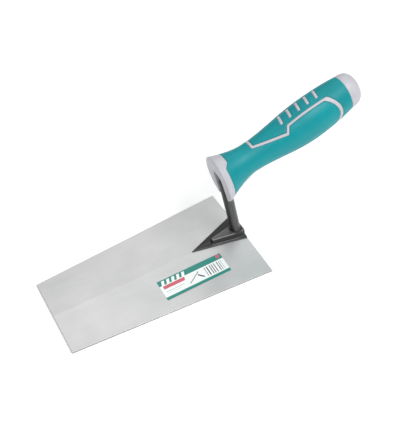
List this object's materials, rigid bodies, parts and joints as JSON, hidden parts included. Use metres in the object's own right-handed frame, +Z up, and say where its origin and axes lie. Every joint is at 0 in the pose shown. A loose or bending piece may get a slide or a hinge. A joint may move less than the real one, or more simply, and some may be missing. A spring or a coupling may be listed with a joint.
{
  "type": "finishing trowel",
  "caption": "Hand trowel with a wide, tapered, lightly creased steel blade, a forged gooseneck shank and a two-tone soft-grip handle.",
  "frame": {"origin": "middle of the footprint, on the surface that the blade's long edges rest on", "axes": "+X from the blade's toe towards the handle's rear end, along the crease; +Y across the blade towards the wing with no label; +Z up, from the blade towards the handle"},
  "size_m": [0.2776, 0.098, 0.1423],
  "materials": {
    "blade_steel": "satin ground",
    "black_forging": "satin black coat",
    "core_plastic": "fine matt",
    "soft_grip": "satin soft-touch",
    "label_paper": "printed, semi-gloss"
  },
  "bodies": {
    "root": {"blade": "blade_steel", "shank": "black_forging", "handle_core": "core_plastic", "lower_grip": "soft_grip", "upper_grip": "soft_grip", "end_cap": "core_plastic", "label": "label_paper"}
  },
  "joints": []
}
